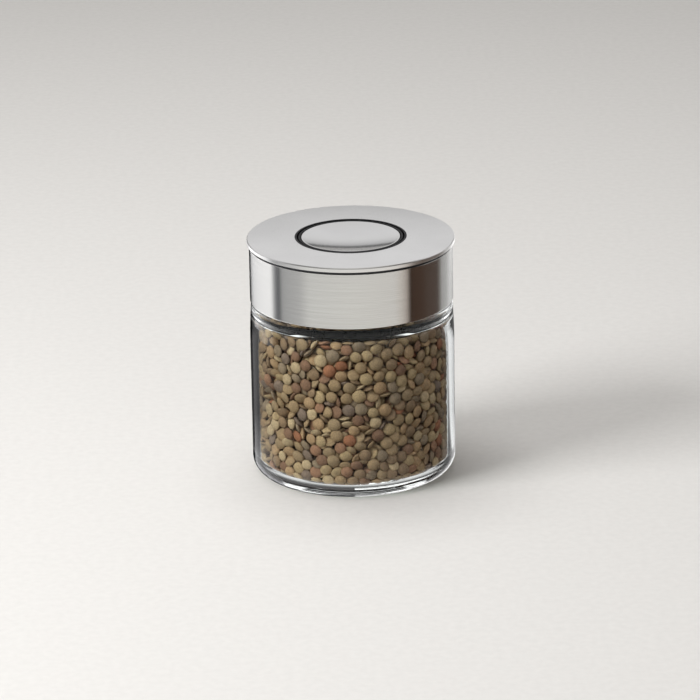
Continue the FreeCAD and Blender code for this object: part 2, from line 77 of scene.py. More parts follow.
# %% [markdown]
# ## Turned surfaces
# Every visible shell here is round about one axis. On the real object they are spun, pressed or
# blown. Each shell is a profile of a few corners, rounded by arcs and carried round the axis as one
# numpy array.

# %% Round the corners of a profile
ARC_STEP = math.radians(9)


def rounded(corners):
    """Profile points from (r, z) or (r, z, radius) corners.

    A corner with a radius becomes the arc that touches both of its runs: its ends lie at
    radius / tan(half the corner's angle) along each run, and its centre on the angle's bisector.
    """
    points = []
    count = len(corners)
    for i, corner in enumerate(corners):
        here = np.array(corner[:2])
        if len(corner) == 2:
            points.append(here[None])
            continue
        before = np.array(corners[i - 1][:2]) - here
        after = np.array(corners[(i + 1) % count][:2]) - here
        before = before / np.linalg.norm(before)
        after = after / np.linalg.norm(after)
        half = 0.5 * math.acos(float(np.clip(before @ after, -1, 1)))
        middle = (before + after) / np.linalg.norm(before + after)
        centre = here + middle * corner[2] / math.sin(half)
        start = here + before * corner[2] / math.tan(half) - centre
        end = here + after * corner[2] / math.tan(half) - centre
        turn = math.atan2(start[0] * end[1] - start[1] * end[0], start @ end)
        steps = max(2, math.ceil(abs(turn) / ARC_STEP))
        angle = np.linspace(0, turn, steps + 1)[:, None]
        across = np.array([-start[1], start[0]])
        points.append(centre + np.cos(angle) * start + np.sin(angle) * across)
    return np.concatenate(points)


def split_runs(profile, longest, guard=0.15 * mm):
    """The same profile with its long straight runs divided.

    A point at the guard distance from each end of a run keeps the soft shading of an edge from
    spreading over the flat beside it.
    """
    pieces = []
    for start, end in zip(profile, np.roll(profile, -1, axis=0)):
        length = float(np.linalg.norm(end - start))
        parts = max(1, math.ceil(length / longest))
        share = np.arange(parts) / parts
        if length > 4 * guard:
            share = np.sort(np.append(share, [guard / length, 1 - guard / length]))
        pieces.append(start + (end - start) * share[:, None])
    return np.concatenate(pieces)


print("a rounded square corner has", len(rounded([(1, 0), (1, 1, 0.1), (0, 1)])) - 2, "points")

# %% Turn a profile into a mesh


def new_piece(name, points, faces, uv=None):
    """Mesh object at the origin from arrays of points, four-cornered faces and corner UVs."""
    mesh = bpy.data.meshes.new(name)
    mesh.from_pydata(points.tolist(), [], faces)
    mesh.polygons.foreach_set("use_smooth", np.ones(len(mesh.polygons), dtype=bool))
    if uv is not None:
        layer = mesh.uv_layers.new(name="surface")
        layer.data.foreach_set("uv", uv.astype(np.float32).ravel())
    mesh.update()
    piece = bpy.data.objects.new(name, mesh)
    bpy.context.collection.objects.link(piece)
    return piece


def turned(name, corners, segments=192, longest=6 * mm):
    """Surface of revolution of a closed profile, walked anticlockwise in the (r, z) plane.

    Point (i, j) is (r_i cos a_j, r_i sin a_j, z_i), with a_j equal steps of a full turn. A profile
    that starts and ends on the axis gets a pole there. v is the length along the profile and u the
    length round the axis at the plate's radius, so a pattern near there has its real size.
    """
    profile = rounded(corners)
    on_axis = abs(profile[0, 0]) < 1e-9
    profile = split_runs(profile, longest)
    if on_axis:
        last = np.flatnonzero(np.abs(profile[1:, 0]) < 1e-9)[0] + 1
        profile = profile[: last + 1]
    angle = np.arange(segments) * 2 * np.pi / segments
    r, z = profile[:, :1], profile[:, 1:]
    grid = np.stack([r * np.cos(angle), r * np.sin(angle), z + 0 * angle], axis=2)
    rows = len(profile)
    step = np.linalg.norm(np.diff(profile, axis=0, append=profile[:1]), axis=1)
    along = np.concatenate([[0], np.cumsum(step)])
    i = np.arange(rows - 1 if on_axis else rows)[:, None]
    j = np.arange(segments)[None, :]
    around = plate_radius * 2 * np.pi * np.stack([j, j + 1, j + 1, j], axis=2) / segments
    ahead = np.stack([along[i], along[i], along[i + 1], along[i + 1]], axis=2)
    shape = (i.size, segments, 4)
    uv = np.stack([np.broadcast_to(around, shape), np.broadcast_to(ahead, shape)], axis=3)
    a, b = i * segments + j, i * segments + (j + 1) % segments
    c, d = (i + 1) % rows * segments + (j + 1) % segments, (i + 1) % rows * segments + j
    quads = np.stack([a, b, c, d], axis=2).reshape(-1, 4)
    uv = uv.reshape(-1, 4, 2)
    if not on_axis:
        return new_piece(name, grid.reshape(-1, 3), quads.tolist(), uv)
    points = np.concatenate([grid[:1, 0], grid[1:-1].reshape(-1, 3), grid[-1:, 0]])
    moved = np.clip(quads - (segments - 1), 0, len(points) - 1)
    first, middle, final = moved[:segments], moved[segments:-segments], moved[-segments:]
    faces = first[:, [0, 2, 3]].tolist() + middle.tolist() + final[:, [0, 1, 2]].tolist()
    loops = [uv[:segments, [0, 2, 3]], uv[segments:-segments], uv[-segments:, [0, 1, 2]]]
    return new_piece(name, points, faces, np.concatenate([part.reshape(-1, 2) for part in loops]))


print("one unit of the UV map is one metre")

# %% [markdown]
# ## Node and colour helpers
# Colours are written as sRGB hex values, and one function turns them to the linear numbers that
# the shaders work in. Another adds any node, set and linked.

# %% Colours and nodes


def linear(hex_colour):
    """Linear RGBA of a hex colour: c / 12.92 below 0.04045, else ((c + 0.055) / 1.055)^2.4."""
    value = np.array([int(hex_colour[i:i + 2], 16) / 255 for i in (1, 3, 5)])
    value = np.where(value <= 0.04045, value / 12.92, ((value + 0.055) / 1.055) ** 2.4)
    return (*value.tolist(), 1.0)


def add_node(tree, kind, settings=None, links=None):
    """New shader node of a kind, with settings and links.

    A setting is a property, an input's value or a colour ramp's stops, as (position, hex colour).
    A link is an input's source: an output, or a node whose first output it is.
    """
    node = tree.nodes.new("ShaderNode" + kind)
    for key, value in (settings or {}).items():
        if key == "stops":
            elements = node.color_ramp.elements
            while len(elements) < len(value):
                elements.new(0.5)
            for element, (position, colour) in zip(elements, value):
                element.position = position
                element.color = linear(colour)
        elif isinstance(key, str) and key in node.bl_rna.properties:
            setattr(node, key, value)
        else:
            node.inputs[key].default_value = value
    for key, source in (links or {}).items():
        if isinstance(source, bpy.types.Node):
            source = source.outputs[0]
        tree.links.new(source, node.inputs[key])
    return node


def new_material(name):
    """Empty node material and its tree."""
    material = bpy.data.materials.new(name)
    material.use_nodes = True
    material.node_tree.nodes.clear()
    return material, material.node_tree


def show(tree, source):
    """Sends a shader to the tree's output."""
    add_node(tree, "OutputMaterial", {}, {"Surface": source})


def by_ray(tree, other, answers):
    """Shader for other rays, and over it, one by one, the shader that answers a kind of ray."""
    path = add_node(tree, "LightPath")
    for kind, shader in answers:
        other = add_node(tree, "MixShader", {}, {"Fac": path.outputs[kind], 1: other, 2: shader})
    return other


print("white is", linear("#ffffff"))

# %% [markdown]
# ## The glass jar
# The real jar is blown in a mould and pressed at the mouth: soda-lime glass with a thick wall, a
# rounded heel and a soft shoulder that runs in under the lid. A thin shell with no inside would
# not bend light, so the profile goes up the outside, over the rim and down the inside, with the
# real wall between.

# %% The jar's wall
wall = 3.2 * mm
inside_radius = jar_radius - wall
floor_top = 4.2 * mm
kick_radius, kick_height, foot_radius = 33 * mm, 1.2 * mm, 37 * mm
shoulder_start, shoulder_radius, shoulder_top = 73 * mm, 49.15 * mm, 86.4 * mm
neck_radius, mouth_radius = 46 * mm, 43.2 * mm
inner_shoulder_start, inner_shoulder_top = 79.5 * mm, 84.5 * mm

glass_jar = turned("clear_glass_jar", [
    (0, kick_height),
    (kick_radius, kick_height, 3 * mm),
    (foot_radius, jar_bottom, 1 * mm),
    (jar_radius, jar_bottom, 7.6 * mm),
    (jar_radius, shoulder_start, 200 * mm),
    (shoulder_radius, shoulder_top, 2.4 * mm),
    (neck_radius, shoulder_top, 0.6 * mm),
    (neck_radius, rim_top, 1.2 * mm),
    (mouth_radius, rim_top, 1.2 * mm),
    (mouth_radius, inner_shoulder_top, 4 * mm),
    (inside_radius, inner_shoulder_start, 4 * mm),
    (inside_radius, floor_top, 6 * mm),
    (0, floor_top),
], segments=256)
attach(glass_jar, "jar")
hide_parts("glass_jar")
print("glass jar:", len(glass_jar.data.polygons), "faces")

# %% [markdown]
# ## The lentils
# The fill is some three thousand dried lentils, each a lens about 6 mm wide and 2.4 mm thick. A
# rigid body simulation would be slow and not the same on every machine. Here they start at random
# and small, grow to size, and are pushed apart until they fit, which is 220 rounds of array sums.
# Only the outer layers and the top are made, round a plain core, because the middle never shows.

# %% Sizes of the fill
lentil_half_width = 3.1 * mm
lentil_half_thick = 1.2 * mm
heel_inside = 6 * mm
core_radius = fill_radius - 10 * mm
core_top = fill_top - 9 * mm
lentil_count = 3150
top_share = 0.16
start_size, growth, growing_time = 0.72, 0.28, 0.6
sinking = 0.03 * mm
apart_share, turn_share, flatten_share, core_share = 0.45, 0.05, 0.23, 0.3
print("fill from", round(fill_bottom / mm, 2), "to", round(fill_top / mm, 2), "mm")

# %% Which lentils are near each other


def near_pairs(points, reach):
    """Pairs of points closer than reach.

    Space is cut into cubes of side reach. Each point looks up the points in its own cube and in
    half of the 26 round it, so that every pair is met once.
    """
    cell = np.floor((points - points.min(0)) / reach).astype(np.int64) + 1
    rows = cell.max(0) + 2
    key = (cell[:, 0] * rows[1] + cell[:, 1]) * rows[2] + cell[:, 2]
    order = np.argsort(key, kind="stable")
    ordered = key[order]
    near = [(x, y, z) for x in (-1, 0, 1) for y in (-1, 0, 1) for z in (-1, 0, 1)]
    found = []
    for x, y, z in near[13:]:
        wanted = key + (x * rows[1] + y) * rows[2] + z
        low = np.searchsorted(ordered, wanted, "left")
        many = np.searchsorted(ordered, wanted, "right") - low
        first = np.repeat(np.arange(len(points)), many)
        place = np.arange(many.sum()) - np.repeat(np.cumsum(many) - many, many)
        second = order[np.repeat(low, many) + place]
        keep = first < second if (x, y, z) == (0, 0, 0) else first != second
        found.append(np.stack([first[keep], second[keep]]))
    pairs = np.concatenate(found, axis=1)
    gap = points[pairs[1]] - points[pairs[0]]
    return pairs[:, np.sum(gap * gap, axis=1) < reach * reach]


def dot(a, b):
    """Row by row scalar product, kept as a column."""
    return np.sum(a * b, axis=1, keepdims=True)


def unit(a):
    return a / (np.linalg.norm(a, axis=1, keepdims=True) + 1e-12)


print("pairs among three points:", near_pairs(np.array([[0, 0, 0], [1, 0, 0], [9, 0, 0.0]]), 2).T)

# %% Push a pair apart


def part_pairs(points, normals, wide, thick, pairs):
    """Moves and turns that bring overlapping lentils apart.

    Two flat ellipsoids touch at a distance that depends on how they are turned: with k the ratio
    of thickness to width, x = (k^2 - 1) / (k^2 + 1), u the line between the centres and n, m
    their axes, the distance is width / sqrt(s), where
    s = 1 - x/2 ((u.n + u.m)^2 / (1 + x n.m) + (u.n - u.m)^2 / (1 - x n.m)).
    Each lentil moves back by nearly half of the overlap, and its axis turns the way in which
    s grows fastest.
    """
    first, second = pairs
    gap = points[second] - points[first]
    apart = np.linalg.norm(gap, axis=1, keepdims=True) + 1e-9
    u = gap / apart
    n, m = normals[first], normals[second]
    width = (wide[first] + wide[second])[:, None]
    k = (thick[first] + thick[second])[:, None] / width
    x = (k * k - 1) / (k * k + 1)
    both, differ, across = dot(u, n) + dot(u, m), dot(u, n) - dot(u, m), dot(n, m)
    up, down = 1 + x * across, 1 - x * across
    s = 1 - 0.5 * x * (both ** 2 / up + differ ** 2 / down)
    overlap = np.clip(width / np.sqrt(s) - apart, 0, None)
    push = apart_share * overlap * u
    even = both * u / up
    odd = differ * u / down
    cross = 0.5 * x * (both ** 2 / up ** 2 - differ ** 2 / down ** 2)
    turn = -turn_share * x * overlap * width * s ** -1.5 / lentil_half_width ** 2
    spin_first = turn * (even + odd - cross * m)
    spin_second = turn * (even - odd - cross * n)
    count = len(points)
    move, spin = np.zeros((count, 3)), np.zeros((count, 3))
    for axis in range(3):
        move[:, axis] -= np.bincount(first, push[:, axis], count)
        move[:, axis] += np.bincount(second, push[:, axis], count)
        spin[:, axis] += np.bincount(first, spin_first[:, axis], count)
        spin[:, axis] += np.bincount(second, spin_second[:, axis], count)
    return move, spin


def keep_inside(points, normals, wide, thick, outwards, reached, limit):
    """Pushes lentils back from a wall and lays them flatter against it.

    A lentil whose axis makes the scalar product d with the way out reaches
    sqrt(wide^2 (1 - d^2) + thick^2 d^2) from its centre that way.
    """
    d = dot(normals, outwards)
    half = np.sqrt(wide[:, None] ** 2 * (1 - d * d) + thick[:, None] ** 2 * d * d)
    past = np.clip(reached[:, None] + half - limit, 0, 1 * mm)
    points = points - past * outwards
    lean = flatten_share * past / lentil_half_width * d * (wide ** 2 - thick ** 2)[:, None] / half
    return points, unit(normals + lean / mm * outwards)


print("touching lentils part by", apart_share, "of their overlap each")

# %% Settle the pile


def settle(count, rounds, seed):
    """Centres, axes, half widths and half thicknesses of lentils that fill the jar.

    They start small, scattered evenly over the ring between the core and the glass and over the
    top layer, and reach full size after the growing time, a share of the rounds.
    """
    random = np.random.default_rng(seed)
    on_top = np.arange(count) < top_share * count
    inner = np.where(on_top, 0, core_radius)
    outer = np.where(on_top, core_radius, fill_radius)
    radius = np.sqrt(random.uniform(inner ** 2, outer ** 2))
    angle = random.uniform(0, 2 * np.pi, count)
    height = random.uniform(np.where(on_top, core_top, fill_bottom), fill_top)
    points = np.stack([radius * np.cos(angle), radius * np.sin(angle), height], axis=1)
    normals = unit(random.normal(size=(count, 3)) * [0.75, 0.75, 1.25])
    size = np.clip(random.normal(1, 0.07, count), 0.84, 1.14)
    plump = size * random.uniform(0.92, 1.1, count)
    up = np.tile([0.0, 0.0, 1.0], (count, 1))
    for step in range(rounds):
        grown = min(1, start_size + growth * step / (growing_time * rounds))
        wide, thick = lentil_half_width * size * grown, lentil_half_thick * plump * grown
        if step % 6 == 0:
            pairs = near_pairs(points, 2.28 * lentil_half_width)
        move, spin = part_pairs(points, normals, wide, thick, pairs)
        points = points + np.clip(move, -1 * mm, 1 * mm) - [0, 0, sinking]
        normals = unit(normals + np.clip(spin, -0.3, 0.3))
        radius = np.linalg.norm(points[:, :2], axis=1)
        aside = unit(points * [1, 1, 0])
        points, normals = keep_inside(points, normals, wide, thick, aside, radius, fill_radius)
        points, normals = keep_inside(points, normals, wide, thick, up, points[:, 2], fill_top)
        points, normals = keep_inside(
            points, normals, wide, thick, -up, -points[:, 2], -fill_bottom)
        from_heel = points - aside * (fill_radius - heel_inside) - up * (fill_bottom + heel_inside)
        in_heel = (dot(from_heel, aside) > 0) & (from_heel[:, 2:] < 0)
        reached = np.where(in_heel[:, 0], np.linalg.norm(from_heel, axis=1), -1)
        points, normals = keep_inside(
            points, normals, wide, thick, unit(from_heel), reached, heel_inside)
        short = core_radius - np.linalg.norm(points[:, :2], axis=1)
        short = np.where(points[:, 2] < core_top, np.clip(short, 0, None), 0)
        points = points + core_share * short[:, None] * unit(points * [1, 1, 0])
    return points, normals, wide, thick


lentil_place = settle(lentil_count, rounds=220, seed=7)
print("lentils settled, highest centre at", round(lentil_place[0][:, 2].max() / mm, 1), "mm")

# %% [markdown]
# A lentil is a biconvex seed with a blunt rim: flatter in the middle and falling off fast at the
# edge. Six rings of ten points and two poles are enough at this size, and every lentil is the
# same small grid, turned and stretched, so the whole pile is one array. Each point carries two
# numbers for the material: its lentil's tint and how far it is from the lentil's middle.

# %% Shape of one lentil
ring_reach = np.array([0.5, 0.86, 1.0, 1.0, 0.86, 0.5])
ring_side = np.array([1, 1, 1, -1, -1, -1])
points_round = 10
bulge_power, rim_thickness = 0.62, 0.13


def lentil_shape():
    """Unit lens: height z = (1 - r^2)^power at the reach r, and a blunt rim at r = 1."""
    angle = np.arange(points_round) * 2 * np.pi / points_round
    z = ring_side * np.maximum((1 - ring_reach ** 2) ** bulge_power, rim_thickness)
    rings = np.stack([
        ring_reach[:, None] * np.cos(angle),
        ring_reach[:, None] * np.sin(angle),
        z[:, None] + 0 * angle,
    ], axis=2).reshape(-1, 3)
    points = np.concatenate([[[0, 0, 1]], rings, [[0, 0, -1]]])
    reach = np.concatenate([[0], np.repeat(ring_reach, points_round), [0]])
    return points, reach


def lentil_faces():
    """Corners of the caps' triangles and the rings' quads, outwards, as two arrays."""
    j = np.arange(points_round)
    ahead = (j + 1) % points_round
    start = 1 + points_round * np.arange(len(ring_reach) - 1)[:, None]
    below = start + points_round
    quads = np.stack([start + j, below + j, below + ahead, start + ahead], axis=2).reshape(-1, 4)
    last = 1 + points_round * (len(ring_reach) - 1)
    top = np.stack([0 * j, 1 + j, 1 + ahead], axis=1)
    end = last + points_round
    bottom = np.stack([0 * j + end, last + ahead, last + j], axis=1)
    return np.concatenate([top, bottom]), quads


print("one lentil has", len(lentil_faces()[0]) + len(lentil_faces()[1]), "faces")

# %% Make the pile


def lentil_pile(name, chosen, seed):
    """One mesh of the chosen lentils: point = centre + wide (x t + y b) + thick z n.

    n is the lentil's axis, and t and b are two directions across it, turned at random.
    """
    points, normals, wide, thick = (part[chosen] for part in lentil_place)
    random = np.random.default_rng(seed)
    shape, reach = lentil_shape()
    t = unit(np.cross(normals, unit(random.normal(size=normals.shape))))
    b = np.cross(normals, t)
    frame_of = np.stack([t * wide[:, None], b * wide[:, None], normals * thick[:, None]], axis=1)
    placed = points[:, None] + np.einsum("pk,nkc->npc", shape, frame_of)
    triangles, quads = lentil_faces()
    shift = (np.arange(len(points)) * len(shape))[:, None, None]
    faces = (triangles + shift).reshape(-1, 3).tolist() + (quads + shift).reshape(-1, 4).tolist()
    pile = new_piece(name, placed.reshape(-1, 3), faces)
    tint = np.repeat(random.uniform(0, 1, len(points)), len(shape))
    for key, value in (("tint", tint), ("reach", np.tile(reach, len(points)))):
        layer = pile.data.attributes.new(key, "FLOAT", "POINT")
        layer.data.foreach_set("value", value.astype(np.float32))
    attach(pile, "jar")
    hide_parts("lentils")
    return pile


lentil_order = np.argsort(lentil_place[0][:, 2])
half_count = lentil_count // 2
lower_lentils = lentil_pile("lentils_lower_half", lentil_order[:half_count], seed=11)
upper_lentils = lentil_pile("lentils_upper_half", lentil_order[half_count:], seed=12)
print("faces in each pile:", [len(half.data.polygons) for half in (lower_lentils, upper_lentils)])

# %% Fill the middle that no one sees
solid_radius = core_radius - 1 * mm
solid_bottom, solid_top = fill_bottom + 3 * mm, core_top + 3 * mm
lentil_core = turned("lentil_fill_core", [
    (0, solid_bottom),
    (solid_radius, solid_bottom, 4 * mm),
    (solid_radius, solid_top, 3 * mm),
    (0, solid_top),
], segments=64)
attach(lentil_core, "jar")
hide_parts("lentils")
print("core radius", round(solid_radius / mm, 1), "mm")

# %% [markdown]
# ## The guard ring
# A black ring hangs under the lid, close inside the jar's shoulder, and shows through the glass as
# the dark band above the lentils. Its near-black is partly painted shade, for the deep shade under
# the lid over the top of the fill. The two thin light lines in that band are taken for moulded
# beads: each one's rounded top catches light from above, and the wall between them stays dark.

# %% Guard ring with two beads
guard_radius, guard_bottom, guard_top = round_size("guard_ring")
guard_inside = 41 * mm
bead_height, bead_depth, bead_pitch = 0.8 * mm, 0.35 * mm, 1.7 * mm
guard_wall = guard_radius - bead_depth
guard_corners = [(guard_inside, guard_bottom, 0.2 * mm)]
for bead_bottom in (guard_bottom, guard_bottom + bead_pitch):
    guard_corners += [
        (guard_wall, bead_bottom),
        (guard_radius, bead_bottom, 0.1 * mm),
        (guard_radius, bead_bottom + bead_height, 0.3 * mm),
        (guard_wall, bead_bottom + bead_height),
    ]
guard_corners += [(guard_wall, guard_top), (guard_inside, guard_top)]
guard_ring = turned("black_guard_ring", guard_corners)
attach(guard_ring, "lid")
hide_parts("guard_ring")
print("guard ring from", round(guard_bottom / mm, 1), "to", round(guard_top / mm, 1), "mm")

# %% [markdown]
# ## The lid's steel
# The plate is a pressed ring of sheet steel with its rim rolled down, so its edge is soft and
# catches one thin bright line. The skirt under it is a band of brushed sheet with a hem turned in
# at the bottom. Both keep the sheet's thickness. Pressing leaves the plate a tenth of a millimetre
# higher at the hole than at its rim.

# %% Plate
steel_sheet = 1.0 * mm
plate_hole = bezel_radius - 0.3 * mm
plate_bend = plate_radius - 0.35 * mm
crown = 0.1 * mm
crown_r = np.linspace(plate_bend, plate_hole, 8)[1:]
crown_z = plate_top - crown * ((crown_r - plate_hole) / (plate_bend - plate_hole)) ** 2
lid_plate = turned("steel_lid_plate", [
    (plate_hole, plate_top - steel_sheet),
    (plate_radius - steel_sheet, plate_top - steel_sheet),
    (plate_radius - steel_sheet, plate_lip, 0.3 * mm),
    (plate_radius, plate_lip, 0.3 * mm),
    (plate_radius, plate_top - crown - 0.5 * mm, 0.4 * mm),
    (plate_bend, plate_top - crown, 0.2 * mm),
] + list(zip(crown_r.tolist(), crown_z.tolist())), segments=256)
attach(lid_plate, "lid")
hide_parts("lid_plate")
print("plate radius", round(plate_radius / mm, 2), "mm")

# %% Skirt
skirt_sheet = 0.8 * mm
hem_inside, hem_top = 47.4 * mm, skirt_bottom + 1 * mm
lid_skirt = turned("steel_lid_skirt", [
    (hem_inside, skirt_bottom, 0.3 * mm),
    (skirt_radius, skirt_bottom, 0.5 * mm),
    (skirt_radius, skirt_top, 0.2 * mm),
    (skirt_radius - skirt_sheet, skirt_top),
    (skirt_radius - skirt_sheet, hem_top),
    (hem_inside, hem_top, 0.3 * mm),
], segments=256)
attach(lid_skirt, "lid")
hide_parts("lid_skirt")
print("skirt from", round(skirt_bottom / mm, 1), "to", round(skirt_top / mm, 1), "mm")

# %% [markdown]
# ## The button in the middle
# A black ring is set in the plate's hole. Inside it stands a cup of the same black plastic whose
# rim shows as a second, thinner ring, and in the cup lies the steel disc. The disc is dished: a
# part of a sphere 2 mm deep, with a softened edge. That hollow is what turns the reflected horizon
# into a dark line across it, so it is made as the real curve and not as a bump.

# %% Black ring in the plate
bezel_bore, bezel_neck = 26.1 * mm, 26.8 * mm
bezel_ring = turned("black_bezel_ring", [
    (bezel_bore, bezel_bottom, 0.2 * mm),
    (bezel_neck, bezel_bottom, 0.2 * mm),
    (bezel_neck, plate_top),
    (bezel_radius, plate_top),
    (bezel_radius, bezel_top, 0.2 * mm),
    (bezel_bore, bezel_top, 0.3 * mm),
])
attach(bezel_ring, "lid")
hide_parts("bezel_ring")
print("ring from", round(bezel_bore / mm, 2), "to", round(bezel_radius / mm, 2), "mm")

# %% Dished disc
dish_depth = 2.0 * mm
dish_rim = 0.35 * mm
dish_sheet = 0.8 * mm


def bowl(radius, depth, rim_z, points):
    """Profile of a shallow bowl from its middle out: a sphere of radius (R^2 + d^2) / 2d."""
    ball = (radius ** 2 + depth ** 2) / (2 * depth)
    r = np.linspace(0, radius, points)
    z = rim_z - depth + ball - np.sqrt(ball ** 2 - r ** 2)
    return list(zip(r.tolist(), z.tolist()))


hollow = dish_radius - dish_rim
under = dish_radius - dish_sheet
upper_curve = bowl(hollow, dish_depth, dish_top, 25)[::-1]
lower_curve = [(r, z - dish_sheet) for r, z in bowl(under, dish_depth, dish_top, 25)]
button_dish = turned("steel_button_dish", lower_curve + [
    (under, dish_edge),
    (dish_radius, dish_edge),
    (dish_radius, dish_top, 0.25 * mm),
] + upper_curve)
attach(button_dish, "button")
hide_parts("button_dish")
print("dish sphere radius", round((hollow ** 2 + dish_depth ** 2) / (2 * dish_depth) / mm, 1), "mm")

# %% Cup that carries the disc
cup_radius, cup_inside = 25.5 * mm, 25.5 * mm - 1.2 * mm
stem_radius, hole_radius, hole_top = 4.5 * mm, 1.35 * mm, stem_bottom + 8 * mm
deck_bottom, deck_top = 113.2 * mm, dish_edge - 0.1 * mm
flange_bottom, flange_top = 103 * mm, 104.4 * mm
button_cup = turned("black_button_cup", [
    (0, hole_top),
    (hole_radius, hole_top),
    (hole_radius, stem_bottom),
    (stem_radius, stem_bottom),
    (stem_radius, deck_bottom, 0.4 * mm),
    (cup_inside, deck_bottom, 0.4 * mm),
    (cup_inside, flange_bottom, 0.3 * mm),
    (flange_radius, flange_bottom, 0.3 * mm),
    (flange_radius, flange_top, 0.3 * mm),
    (cup_radius, flange_top),
    (cup_radius, cup_top, 0.4 * mm),
    (cup_inside, cup_top, 0.3 * mm),
    (cup_inside, deck_top),
    (0, deck_top),
])
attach(button_cup, "button")
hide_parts("button_carrier")
print("cup rim at", round(cup_top / mm, 1), "mm")

# %% [markdown]
# ## Materials
# Each finish starts from what the real one is. Sizes in the patterns are real ones: a noise of
# scale 1 / (0.4 mm) has spots about 0.4 mm wide. Patterns read Object coordinates, by the link
# called spot, except on the skirt, whose lines follow the UV map's real lengths round the axis.

# %% Glass
# Soda-lime glass, blown and fire polished: clear and mirror smooth, with a trace of green.


def pressed_glass():
    """Clear glass. Shadow rays go straight through, so that the lamps reach what is inside.

    The grey specular tint holds back the mirroring of what the glass faces, as a polarising filter
    would.
    """
    material, tree = new_material("soda_lime_glass")
    glass = add_node(tree, "BsdfPrincipled", {
        "Base Color": linear("#fbfdfc"), "Roughness": 0.0, "IOR": 1.5, "Transmission Weight": 1.0,
        "Specular Tint": linear("#7a7a7a"),
    })
    clear = add_node(tree, "BsdfTransparent", {"Color": linear("#f2f6f4")})
    show(tree, by_ray(tree, glass, [("Is Shadow Ray", clear)]))
    return material


glass_jar.data.materials.append(pressed_glass())
print("glass:", glass_jar.data.materials[0].name)

# %% Lentils
# The dry seed coat is matt and a little waxy. A lot of lentils mixes khaki, beige, grey and brown
# with a few orange ones, and each coat is freckled. It is also painted a little darker along its
# rim: painted shade where the edge turns away from the light.
lentil_colours = [
    (0.00, "#93795f"), (0.12, "#a58a6a"), (0.26, "#b39975"), (0.40, "#bfa684"), (0.52, "#a2896b"),
    (0.62, "#94806a"), (0.72, "#b0906e"), (0.82, "#8a6a55"), (0.88, "#9d765d"), (0.93, "#857264"),
    (0.97, "#a26e52"),
]


def seed_coat():
    """Colour by each lentil's tint, freckles 0.7 mm wide, patches 3.5 mm and wrinkles 0.5 mm."""
    material, tree = new_material("dried_lentil_coat")
    tint = add_node(tree, "Attribute", {"attribute_name": "tint"})
    reach = add_node(tree, "Attribute", {"attribute_name": "reach"})
    spot = {"Vector": add_node(tree, "TexCoord").outputs["Object"]}
    coat = add_node(tree, "ValToRGB", {"stops": lentil_colours}, {"Fac": tint.outputs["Fac"]})
    coat.color_ramp.interpolation = "CONSTANT"
    freckles = add_node(tree, "TexNoise", {"Scale": 1 / (0.7 * mm), "Detail": 2.0}, spot)
    patches = add_node(tree, "TexNoise", {"Scale": 1 / (3.5 * mm), "Detail": 1.0}, spot)
    freckled = add_node(tree, "MapRange", {
        "From Min": 0.38, "From Max": 0.66, "To Min": 1.08, "To Max": 0.82,
    }, {"Value": freckles})
    patched = add_node(tree, "MapRange", {
        "From Min": 0.3, "From Max": 0.7, "To Min": 0.9, "To Max": 1.1,
    }, {"Value": patches})
    # Painted shade: up to 14 % darker over the outer quarter of each lentil, towards its rim.
    rim_shade = add_node(tree, "MapRange", {
        "From Min": 0.75, "From Max": 1.0, "To Min": 1.0, "To Max": 0.86,
    }, {"Value": reach.outputs["Fac"]})
    both = add_node(tree, "Math", {"operation": "MULTIPLY"}, {0: freckled, 1: patched})
    value = add_node(tree, "Math", {"operation": "MULTIPLY"}, {0: both, 1: rim_shade})
    colour = add_node(tree, "HueSaturation", {}, {"Color": coat, "Value": value})
    wrinkles = add_node(tree, "TexNoise", {"Scale": 1 / (0.5 * mm), "Detail": 2.0}, spot)
    bump = add_node(tree, "Bump", {"Strength": 0.5, "Distance": 0.05 * mm}, {"Height": wrinkles})
    skin = add_node(tree, "BsdfPrincipled", {
        "Roughness": 0.62, "IOR": 1.45, "Specular IOR Level": 0.35,
    }, {"Base Color": colour, "Normal": bump})
    show(tree, skin)
    return material


seed_coat_material = seed_coat()
for pile in (lower_lentils, upper_lentils):
    pile.data.materials.append(seed_coat_material)
print("lentil colours:", len(lentil_colours))


def shaded_depth():
    """The dark between lentils, deeper than the eye gets: brown, mottled at a lentil's size."""
    material, tree = new_material("lentils_in_deep_shade")
    spot = {"Vector": add_node(tree, "TexCoord").outputs["Object"]}
    spots = add_node(tree, "TexVoronoi", {"Scale": 1 / (5 * mm)}, spot)
    # Painted shade: these dark browns stand for the shade deep in the pile, not for a lentil's
    # colour.
    colour = add_node(tree, "ValToRGB", {"stops": [(0.1, "#5a4c38"), (0.8, "#241c12")]},
                      {"Fac": spots})
    skin = add_node(tree, "BsdfPrincipled", {"Roughness": 0.8}, {"Base Color": colour})
    show(tree, skin)
    return material


lentil_core.data.materials.append(shaded_depth())
print("core:", lentil_core.data.materials[0].name)

# %% [markdown]
# ## Steel
# All three steel faces are the same 18/8 stainless sheet, but finished three ways. The skirt is
# brushed round the axis, so its reflections stay sharp from side to side and smear up and down:
# that is anisotropy, with its direction taken from the UV map. The plate is blasted to an even
# satin. The dish is satin too but finer, so the horizon still shows in it as a line.

# %% Brushed, satin and fine satin steel


